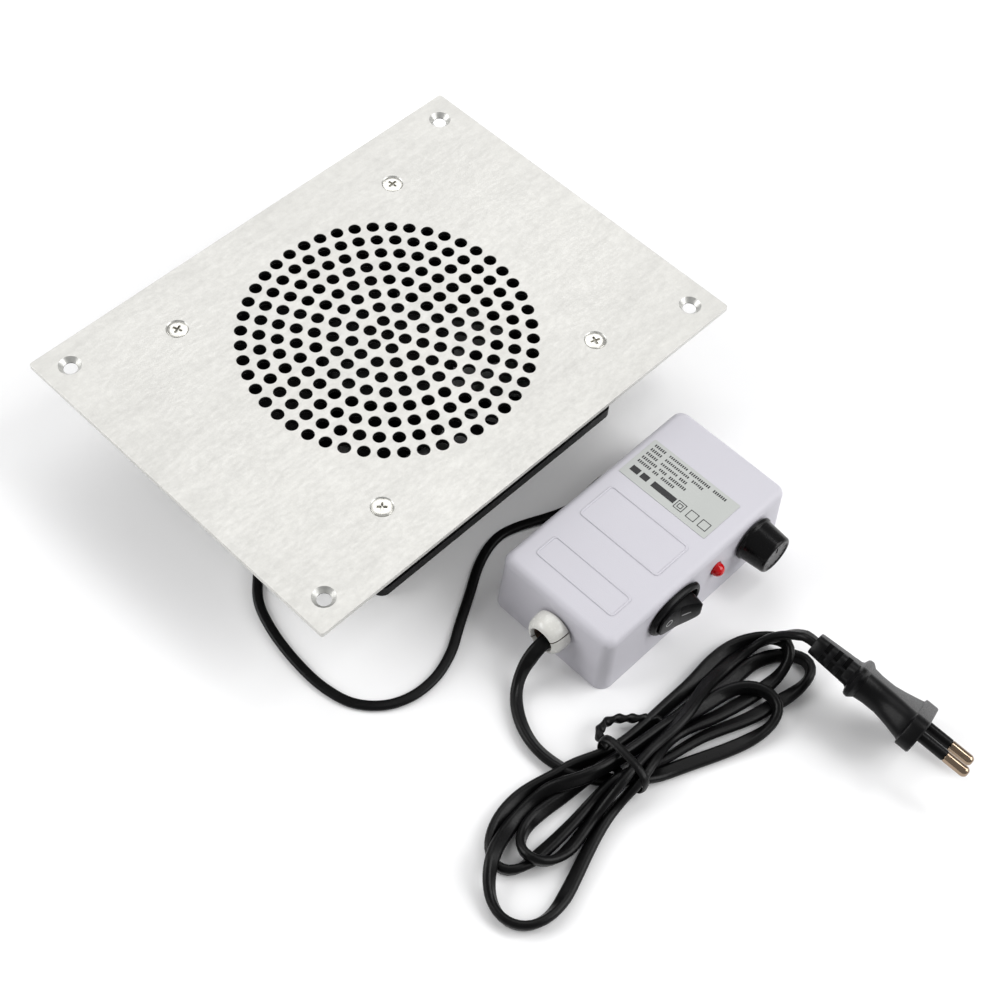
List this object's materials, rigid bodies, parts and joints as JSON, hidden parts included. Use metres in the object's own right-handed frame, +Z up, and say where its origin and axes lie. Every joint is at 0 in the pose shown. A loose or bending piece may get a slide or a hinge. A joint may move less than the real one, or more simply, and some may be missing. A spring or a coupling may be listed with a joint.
{
  "type": "nail dust collector",
  "caption": "Desk-mounted nail dust collector: perforated steel plate over an axial fan, with a separate mains control box, speed knob, rocker switch and lead.",
  "frame": {"origin": "on the fan's axis, on the surface that the fan frame, the control box and the leads stand on", "axes": "+Z up along the fan's axis, out of the face plate; +X from the fan towards the control box; +Y along the face plate's long side"},
  "size_m": [0.3213, 0.2169, 0.042],
  "materials": {
    "plate_steel": "fine brushed stainless steel",
    "zinc": "bright zinc plate",
    "fan_plastic": "moulded black glass-filled plastic, slight sheen",
    "foam": "black foam rubber",
    "steel": "turned steel",
    "magnet": "dark sintered or sleeved surface",
    "copper": "enamelled copper wire",
    "circuit_board": "green solder mask",
    "box_plastic": "fine satin ABS",
    "black_plastic": "semi-gloss moulded plastic",
    "led_red": "clear red lens",
    "white_nylon": "natural white nylon",
    "label": "silver-grey film",
    "capacitor_blue": "coated case",
    "heatsink": "plain aluminium",
    "wire_brown": "soft PVC",
    "wire_blue": "soft PVC",
    "cord_black": "satin black PVC",
    "nickel": "nickel-plated brass"
  },
  "bodies": {
    "housing": {"face_plate": "plate_steel", "fan_screw_1": "zinc", "fan_screw_2": "zinc", "fan_screw_3": "zinc", "fan_screw_4": "zinc", "fan_nut_1": "zinc", "fan_nut_2": "zinc", "fan_nut_3": "zinc", "fan_nut_4": "zinc", "fan_frame": "fan_plastic", "plate_gasket": "foam", "bearing_lower": "steel", "bearing_upper": "steel", "preload_spring": "steel", "stator_core": "steel", "stator_coil_1": "copper", "stator_coil_2": "copper", "stator_coil_3": "copper", "stator_coil_4": "copper", "stator_board": "circuit_board", "box_top_shell": "box_plastic", "box_base_cover": "box_plastic", "box_screw_1": "zinc", "box_screw_2": "zinc", "box_screw_3": "zinc", "box_screw_4": "zinc", "rating_label": "label", "switch_body": "black_plastic", "potentiometer_body": "steel", "potentiometer_nut": "zinc", "indicator_led": "led_red", "control_board": "circuit_board", "transformer": "steel", "mains_capacitor": "capacitor_blue", "output_capacitor": "magnet", "regulator_heatsink": "heatsink", "fuse": "label", "cord_clamp_upper": "white_nylon", "cord_clamp_lower": "white_nylon", "fan_lead_grommet": "cord_black", "mains_wire_live": "wire_brown", "mains_wire_neutral": "wire_blue", "fan_lead": "cord_black", "mains_lead": "cord_black", "mains_hank": "cord_black", "mains_lead_end": "cord_black", "bundle_tie": "cord_black", "plug_body": "black_plastic", "plug_pin_1": "nickel", "plug_pin_2": "nickel", "pin_sleeve_1": "black_plastic", "pin_sleeve_2": "black_plastic"},
    "rotor": {"impeller": "fan_plastic", "rotor_cup": "steel", "rotor_magnet": "magnet", "rotor_shaft": "steel", "retaining_clip": "steel"},
    "rocker": {"switch_rocker": "black_plastic"},
    "knob": {"speed_knob": "black_plastic", "potentiometer_shaft": "steel"}
  },
  "joints": [
    {"name": "fan_spin", "type": "hinge", "parent": "housing", "child": "rotor", "pos_m": [0, 0, 0.021], "axis": [0, 0, 1], "continuous": true},
    {"name": "rocker_tilt", "type": "hinge", "parent": "housing", "child": "rocker", "pos_m": [0.13668, 0.0022, 0.0173], "axis": [0, 0, 1], "range_deg": [0, 28]},
    {"name": "knob_turn", "type": "hinge", "parent": "housing", "child": "knob", "pos_m": [0.13788, 0.0439, 0.0173], "axis": [1, 0, 0], "range_deg": [-150, 150]}
  ]
}
